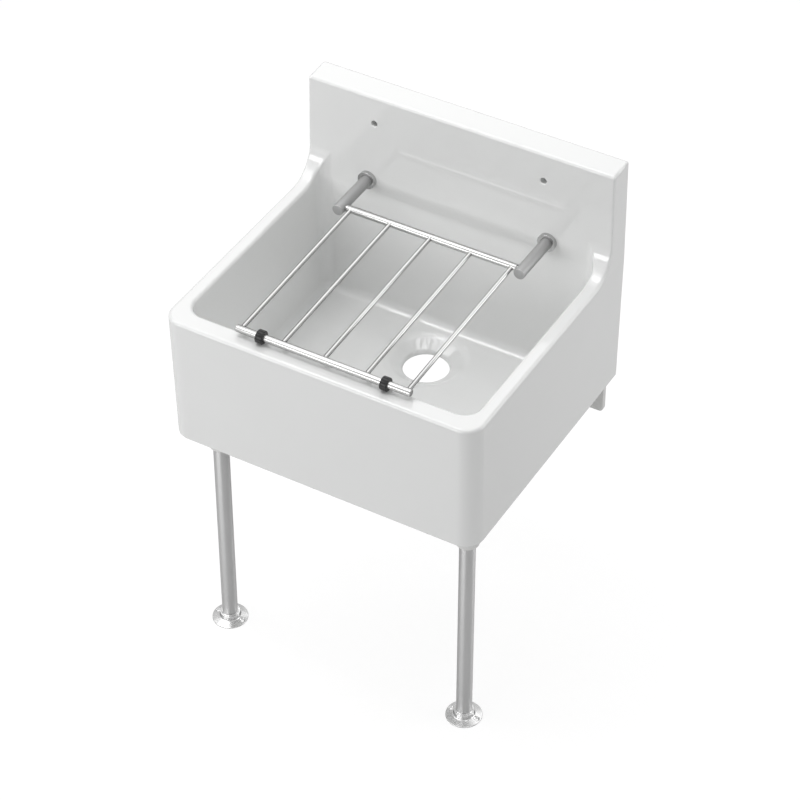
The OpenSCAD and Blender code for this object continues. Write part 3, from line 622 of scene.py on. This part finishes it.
# Bucket grating
back = rounded([(0, -PIN_HALF, 0), (PIN_R, -PIN_HALF, PIN_EDGE), (PIN_R, -BAR_HALF, 0),
                (BAR_R, -BAR_HALF, BAR_EDGE), (BAR_R, BAR_HALF, BAR_EDGE), (PIN_R, BAR_HALF, 0),
                (PIN_R, PIN_HALF, PIN_EDGE), (0, PIN_HALF, 0)], steps=3)
piece("back_bar", "grating", BAR_STEEL,
      turned(back, BAR_N, along(X_AXIS, (0, HINGE_Y, POST_Z))), ("grate_back_bar",))
front = rounded([(0, -FRONT_BAR_HALF, 0), (BAR_R, -FRONT_BAR_HALF, BAR_EDGE),
                 (BAR_R, FRONT_BAR_HALF, BAR_EDGE), (0, FRONT_BAR_HALF, 0)], steps=3)
piece("front_bar", "grating", BAR_STEEL,
      turned(front, BAR_N, along(X_AXIS, (0, FRONT_BAR_Y, FRONT_BAR_Z))), ("grate_front_bar",))


def rod(x):
    """A rod that seats on both bars, with the small fillet of a ground weld at each end."""
    start, end = Vector((x, HINGE_Y, POST_Z)), Vector((x, FRONT_BAR_Y, FRONT_BAR_Z))
    length = (end - start).length
    run = (end - start).normalized()
    across = Vector(X_AXIS)
    place = Matrix((across, run.cross(across), run)).transposed().to_4x4()
    place.translation = start

    def seat(r):
        """How far the bar's surface lies from its centre line, over the directions round the rod."""
        return np.sqrt(BAR_R ** 2 - (r * np.sin(directions(ROD_N))) ** 2) - WELD_BITE

    rows = [(0, BAR_R - ROD_END)]
    rows += [(ROD_R + flare, seat(ROD_R + flare) + away) for away, flare in WELD]
    rows += [(ROD_R + flare, length - seat(ROD_R + flare) - away) for away, flare in reversed(WELD)]
    return turned(rows + [(0, length - BAR_R + ROD_END)], ROD_N, place)


for k, x in enumerate(ROD_X):
    piece(f"rod_{k + 1}", "grating", ROD_STEEL, rod(x), (f"grate_rod_{k + 1}",), sharp=60)


def buffer(s):
    """A rubber sleeve with rounded ribs along it."""
    n = GROOVES * GROOVE_POINTS
    phase = (np.arange(n) / GROOVE_POINTS) % 1 - 0.5
    off = np.abs(phase) * 2 * math.pi * BUFFER_R / GROOVES
    dip = np.where(off < GROOVE_R, np.sqrt(np.maximum(GROOVE_R ** 2 - off ** 2, 0)), 0)
    ribbed = BUFFER_R - dip
    valley = BUFFER_R - GROOVE_R
    shoulder = np.minimum(ribbed, valley + RIB_SHOULDER)
    half = BUFFER_LEN / 2
    end = [(BAR_R, half), (valley - BUFFER_EDGE, half), (valley, half - BUFFER_FINE_EDGE),
           (shoulder, half - BUFFER_EDGE), (ribbed, half - GROOVE_R)]
    rows = [(r, -t) for r, t in end] + end[::-1]
    return turned(rows, n, along(X_AXIS, (s * BUFFER_X, FRONT_BAR_Y, FRONT_BAR_Z)), ring=True)


for word, s in SIDES:
    piece(f"{word}_buffer", "grating", RUBBER,
          buffer(s), (f"{word}_rubber_buffer",), sharp=50)

# Legs and floor flanges
hub_top, lip_top, seat_r = GROUND_Z + HUB_H, GROUND_Z + HUB_H + LIP_H, LEG_R + FIT
sink_z = GROUND_Z + FLANGE_EDGE / 2
cut_low, cut_high = GROUND_Z - CUT_BELOW, GROUND_Z + CUT_ABOVE
tube = rounded([(LEG_R, LEG_BOTTOM, TUBE_EDGE), (LEG_R, LEG_TOP, TUBE_EDGE),
                (LEG_R - LEG_WALL, LEG_TOP, TUBE_INNER_EDGE),
                (LEG_R - LEG_WALL, LEG_BOTTOM, TUBE_INNER_EDGE)], steps=2)
flange = rounded([
    (0, GROUND_Z, 0), (FLANGE_R, GROUND_Z, FLANGE_FOOT_ROUND),
    (FLANGE_R, GROUND_Z + FLANGE_EDGE, FLANGE_RIM_ROUND), (HUB_R, GROUND_Z + FLANGE_ROOT, HUB_FILLET),
    (HUB_R, hub_top, HUB_ROUND), (LEG_R + LIP_W, hub_top, LIP_FILLET), (LEG_R + LIP_W, lip_top, LIP_ROUND),
    (seat_r, lip_top, 0), (seat_r, LEG_BOTTOM, 0), (0, LEG_BOTTOM, 0)], steps=5)
countersink = [(0, cut_low), (FLANGE_HOLE_R, cut_low), (FLANGE_HOLE_R, sink_z),
               (FLANGE_SINK_R, sink_z + FLANGE_SINK_R - FLANGE_HOLE_R),
               (FLANGE_SINK_R + SINK_FLARE, cut_high), (0, cut_high)]
for word, s in SIDES:
    at = Matrix.Translation((s * LEG_X, LEG_Y, 0))
    piece(f"{word}_leg_tube", "sink", LEG_STEEL,
          turned(tube, POST_N, at, ring=True), (f"{word}_leg",))
    holes = [turned(countersink, HOLE_N, Matrix.Translation((s * LEG_X + t * FLANGE_HOLE_X, LEG_Y, 0)))
             for t in (-1, 1)]
    piece(f"{word}_flange", "sink", FLANGE_STEEL, turned(flange, FLANGE_N, at),
          (f"{word}_floor_flange",), cuts=holes, sharp=28)

# Bearers, pads and grub screws
bearer_grids = grid(BEARER_X_RUNS), grid(BEARER_Y_RUNS), grid(BEARER_Z_RUNS)
for word, s in SIDES:
    mesh, co, normals = field_mesh(f"{word}_bearer_casting", bearer_field(s), bearer_grids, BEARER_KEEP)
    co[:, 0] += s * LEG_X
    piece(f"{word}_bearer_casting", "sink", CAST, (mesh, co, normals), (f"{word}_bearer",))


def pad(s, y):
    """A rubber pad on one bearer, from a place along it towards the wall."""
    return rounded_box((s * LEG_X - PAD_W / 2, y, BEARER_TOP),
                       (s * LEG_X + PAD_W / 2, y + PAD_LEN, BEARER_TOP + PAD_T), PAD_EDGE, steps=3)


pads = [pad(s, y) for _, s in SIDES for y in (LEG_Y - PAD_LEN / 2, -PLATE_T - 2 * PAD_LEN)]
piece("rubber_pads", "sink", RUBBER, joined(*pads), ("bearer_pads",))


def grub_screw(s):
    """A screw without a head, with a hexagon socket."""
    key = hexagon(KEY_HALF, BAR_N)
    rows = [(0, LEG_R), (GRUB_R - GRUB_EDGE, LEG_R), (GRUB_R, LEG_R + GRUB_EDGE),
            (GRUB_R, SOCKET_R - GRUB_EDGE), (GRUB_R - GRUB_EDGE, SOCKET_R), (key, SOCKET_R),
            (key, SOCKET_R - KEY_DEPTH), (0, SOCKET_R - KEY_DEPTH - GRUB_EDGE)]
    return turned(rows, BAR_N, along((-s, 0, 0), (s * LEG_X, LEG_Y, GRUB_Z)))


piece("grub_screws", "sink", ZINC,
      joined(grub_screw(-1), grub_screw(1)), ("leg_grub_screws",))


# Studio: floor, world, lamps and camera, in metres

FLOOR_HALF = 6.0
# The paper's grey under the lamps, and its grey and glow where a ray sees it as the backdrop
PAPER_GREY, BACKDROP_GREY, BACKDROP_GLOW = 0.7, 0.24, 0.83
# The world's light, and the shares of the white backdrop that reflections see in the floor and in the world
AMBIENT, FLOOR_MIRRORED, WORLD_MIRRORED = 0.27, 0.2, 0.5
LIT_POINT, LAMP_DISTANCE = Vector((0, -0.2, -0.1)), 2.5
# Direction round the sink from the front, height in degrees, width and height of the box, watts
LAMPS = (
    ("overhead_soft_box", 0, 86, (2.4, 0.7), 14.3),
    ("key_soft_box", -70, 56, (1.5, 2.3), 20.3),
    ("rear_soft_box", 195, 52, (2.7, 2.0), 17.3),
    ("right_soft_box", 118, 14, (1.6, 1.2), 14.8),
    ("front_soft_box", -14, 12, (2.2, 0.7), 20.0),
)
CAMERA_AT, CAMERA_TURN, CAMERA_RISE = (1.45285, -2.71263, 2.32995), 29.96, 41.04
LENS, SENSOR_WIDTH, CLIP_END = 129.04, 36, 50


def direction(turn, rise):
    """A direction from degrees round the sink from the front and degrees up."""
    turn, rise = math.radians(turn), math.radians(rise)
    return Vector((math.sin(turn) * math.cos(rise), -math.cos(turn) * math.cos(rise), math.sin(rise)))


def backdrop_factor(tree, mirrored_share):
    """How far a ray sees the white backdrop instead of the lit paper: all of it from the camera, and a share
    of it in reflections and refractions."""
    path = tree.nodes.new("ShaderNodeLightPath")
    total = path.outputs["Is Camera Ray"]
    for output in ("Is Glossy Ray", "Is Transmission Ray"):
        part = tree.nodes.new("ShaderNodeMath")
        part.operation = "MULTIPLY_ADD"
        part.use_clamp = True
        factor, share, rest = part.inputs
        share.default_value = mirrored_share
        tree.links.new(path.outputs[output], factor)
        tree.links.new(total, rest)
        total = part.outputs[0]
    return total


def surface(tree, kind, grey, strength=None):
    n = tree.nodes.new(kind)
    n.inputs["Color"].default_value = (grey, grey, grey, 1)
    if strength is not None:
        n.inputs["Strength"].default_value = strength
    return n.outputs[0]


def choose(tree, factor, first, second, output):
    """Mixes two shaders by a factor into a new output node."""
    mix = tree.nodes.new("ShaderNodeMixShader")
    for socket, source in zip(mix.inputs, (factor, first, second)):
        tree.links.new(source, socket)
    out = tree.nodes.new(output)
    tree.links.new(mix.outputs[0], out.inputs["Surface"])


floor_mesh = bpy.data.meshes.new("studio_floor")
corners = ((-1, -1), (1, -1), (1, 1), (-1, 1))
floor_mesh.from_pydata([(x * FLOOR_HALF, y * FLOOR_HALF, GROUND_Z * MM) for x, y in corners],
                       [], [(0, 1, 2, 3)])
floor = new_object("studio_floor", floor_mesh)
paper = bpy.data.materials.new("white_paper")
paper.use_nodes = True
tree = paper.node_tree
tree.nodes.clear()
matt = surface(tree, "ShaderNodeBsdfDiffuse", PAPER_GREY)
glow = tree.nodes.new("ShaderNodeAddShader")
tree.links.new(surface(tree, "ShaderNodeBsdfDiffuse", BACKDROP_GREY), glow.inputs[0])
tree.links.new(surface(tree, "ShaderNodeEmission", 1.0, BACKDROP_GLOW), glow.inputs[1])
choose(tree, backdrop_factor(tree, FLOOR_MIRRORED), matt, glow.outputs[0], "ShaderNodeOutputMaterial")
floor_mesh.materials.append(paper)

world = bpy.data.worlds.new("studio")
bpy.context.scene.world = world
world.use_nodes = True
tree = world.node_tree
tree.nodes.clear()
choose(tree, backdrop_factor(tree, WORLD_MIRRORED), surface(tree, "ShaderNodeBackground", 1.0, AMBIENT),
       surface(tree, "ShaderNodeBackground", 1.0, 1.0), "ShaderNodeOutputWorld")

for name, turn, rise, (width, height), watts in LAMPS:
    light = bpy.data.lights.new(name, "AREA")
    light.shape, light.size, light.size_y, light.energy = "RECTANGLE", width, height, watts
    obj = new_object(name, light)
    obj.location = direction(turn, rise) * LAMP_DISTANCE + LIT_POINT
    obj.rotation_euler = (LIT_POINT - obj.location).to_track_quat("-Z", "Y").to_euler()

camera = new_object("camera", bpy.data.cameras.new("camera"))
camera.data.lens, camera.data.sensor_width, camera.data.clip_end = LENS, SENSOR_WIDTH, CLIP_END
away = direction(CAMERA_TURN, CAMERA_RISE)
right = Vector((math.cos(math.radians(CAMERA_TURN)), math.sin(math.radians(CAMERA_TURN)), 0))
camera.matrix_world = Matrix((right, away.cross(right), away)).transposed().to_4x4()
camera.location = CAMERA_AT
bpy.context.scene.camera = camera
bpy.context.scene.view_settings.view_transform = "Standard"
